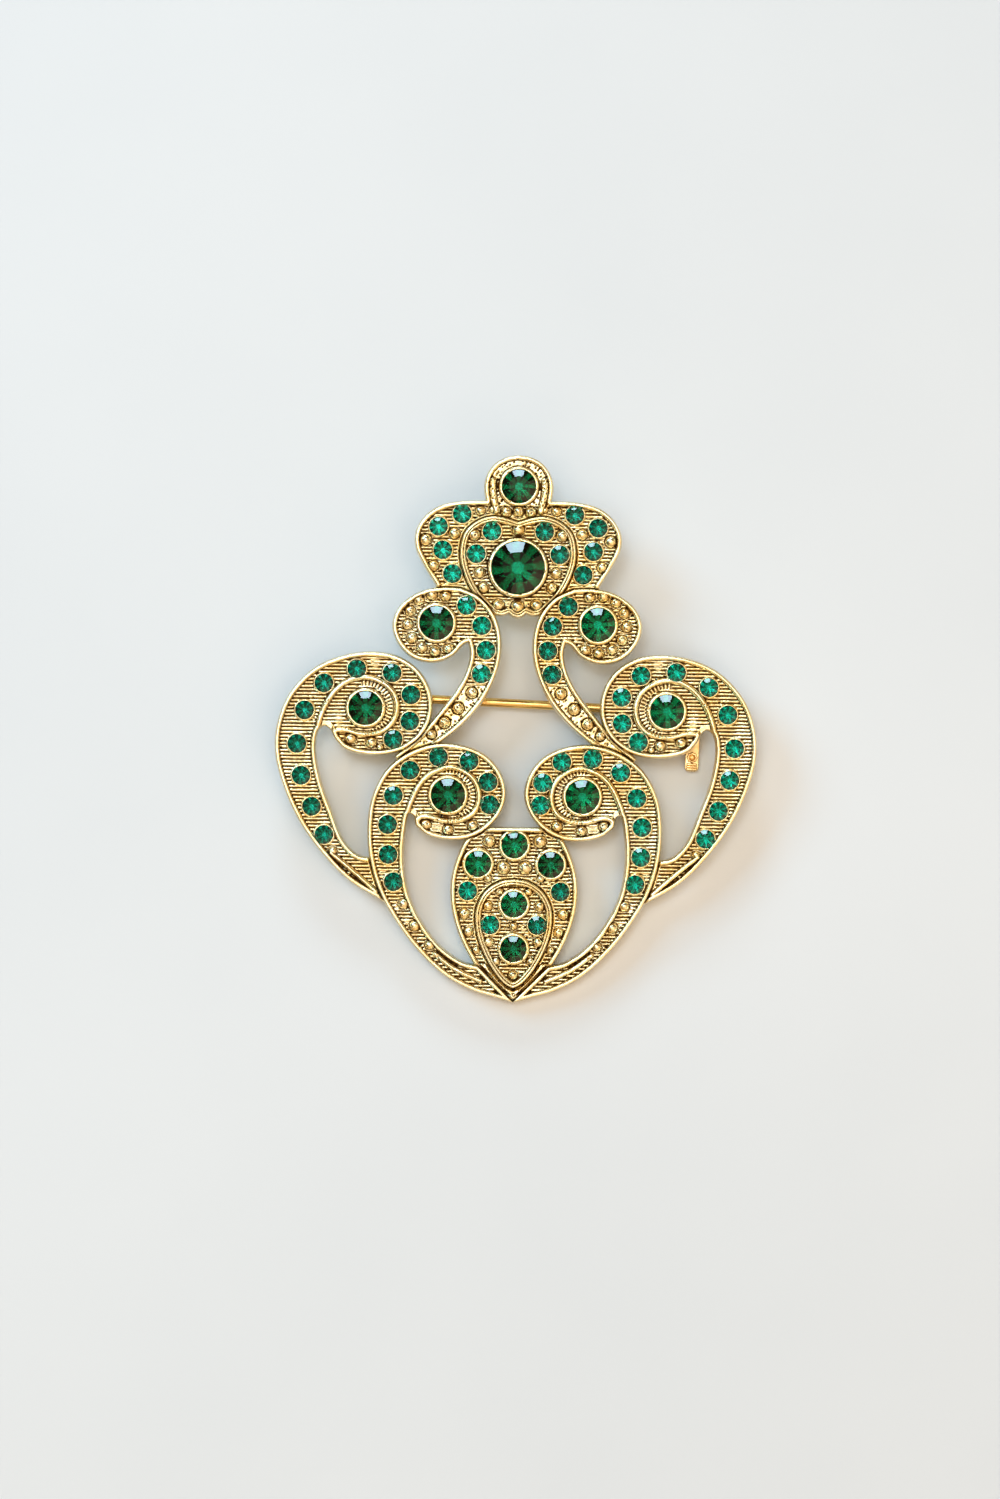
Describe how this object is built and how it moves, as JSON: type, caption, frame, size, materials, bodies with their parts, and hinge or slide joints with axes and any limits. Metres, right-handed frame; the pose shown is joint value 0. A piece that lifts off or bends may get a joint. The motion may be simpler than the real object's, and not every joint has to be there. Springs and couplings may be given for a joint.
{
  "type": "brooch",
  "caption": "Gilt openwork scroll brooch set with round green stones, with a hinged pin and a roller catch on its back.",
  "frame": {"origin": "back face of the casting, behind the middle of the large stone in the heart", "axes": "+Y from the large stone to the crest, +Z out of the front, +X to the right when the front is seen with the crest up"},
  "size_m": [0.0528, 0.0598, 0.0077],
  "materials": {
    "casting_gilt": "polished rims over darker engraved channels, warm gilt plating",
    "findings_gilt": "plain gilt sheet and turned parts, lightly polished",
    "pin_gilt": "drawn wire, polished and gilt",
    "green_stone": "emerald green cut glass with a foiled back"
  },
  "bodies": {
    "brooch": {"brooch_casting": "casting_gilt", "catch_housing": "findings_gilt", "hinge_bracket": "findings_gilt", "hinge_rivet": "findings_gilt", "stone_bud_shoulder_left": "green_stone", "stone_bud_shoulder_right": "green_stone", "stone_bud_top": "green_stone", "stone_crest": "green_stone", "stone_heart_large": "green_stone", "stone_leaf_lower": "green_stone", "stone_leaf_upper": "green_stone", "stone_lower_scroll_01_left": "green_stone", "stone_lower_scroll_01_right": "green_stone", "stone_lower_scroll_02_left": "green_stone", "stone_lower_scroll_02_right": "green_stone", "stone_lower_scroll_03_left": "green_stone", "stone_lower_scroll_03_right": "green_stone", "stone_lower_scroll_04_left": "green_stone", "stone_lower_scroll_04_right": "green_stone", "stone_lower_scroll_05_left": "green_stone", "stone_lower_scroll_05_right": "green_stone", "stone_lower_scroll_06_left": "green_stone", "stone_lower_scroll_06_right": "green_stone", "stone_lower_scroll_07_left": "green_stone", "stone_lower_scroll_07_right": "green_stone", "stone_lower_scroll_08_left": "green_stone", "stone_lower_scroll_08_right": "green_stone", "stone_lower_scroll_09_left": "green_stone", "stone_lower_scroll_09_right": "green_stone", "stone_lower_scroll_eye_left": "green_stone", "stone_lower_scroll_eye_right": "green_stone", "stone_side_scroll_01_left": "green_stone", "stone_side_scroll_01_right": "green_stone", "stone_side_scroll_02_left": "green_stone", "stone_side_scroll_02_right": "green_stone", "stone_side_scroll_03_left": "green_stone", "stone_side_scroll_03_right": "green_stone", "stone_side_scroll_04_left": "green_stone", "stone_side_scroll_04_right": "green_stone", "stone_side_scroll_05_left": "green_stone", "stone_side_scroll_05_right": "green_stone", "stone_side_scroll_06_left": "green_stone", "stone_side_scroll_06_right": "green_stone", "stone_side_scroll_07_left": "green_stone", "stone_side_scroll_07_right": "green_stone", "stone_side_scroll_08_left": "green_stone", "stone_side_scroll_08_right": "green_stone", "stone_side_scroll_09_left": "green_stone", "stone_side_scroll_09_right": "green_stone", "stone_side_scroll_10_left": "green_stone", "stone_side_scroll_10_right": "green_stone", "stone_side_scroll_11_left": "green_stone", "stone_side_scroll_11_right": "green_stone", "stone_side_scroll_eye_left": "green_stone", "stone_side_scroll_eye_right": "green_stone", "stone_upper_scroll_eye_left": "green_stone", "stone_upper_scroll_eye_right": "green_stone"},
    "pin": {"pin_stem": "pin_gilt"},
    "roller": {"catch_roller": "findings_gilt"}
  },
  "joints": [
    {"name": "pin_swing", "type": "hinge", "parent": "brooch", "child": "pin", "pos_m": [-0.017, -0.01422, -0.0024], "axis": [0.0401, 0.9992, 0], "range_deg": [0, 110]},
    {"name": "roller_turn", "type": "hinge", "parent": "brooch", "child": "roller", "pos_m": [0.0177, -0.01561, -0.0024], "axis": [0.9992, -0.0401, 0], "range_deg": [0, 170]}
  ]
}
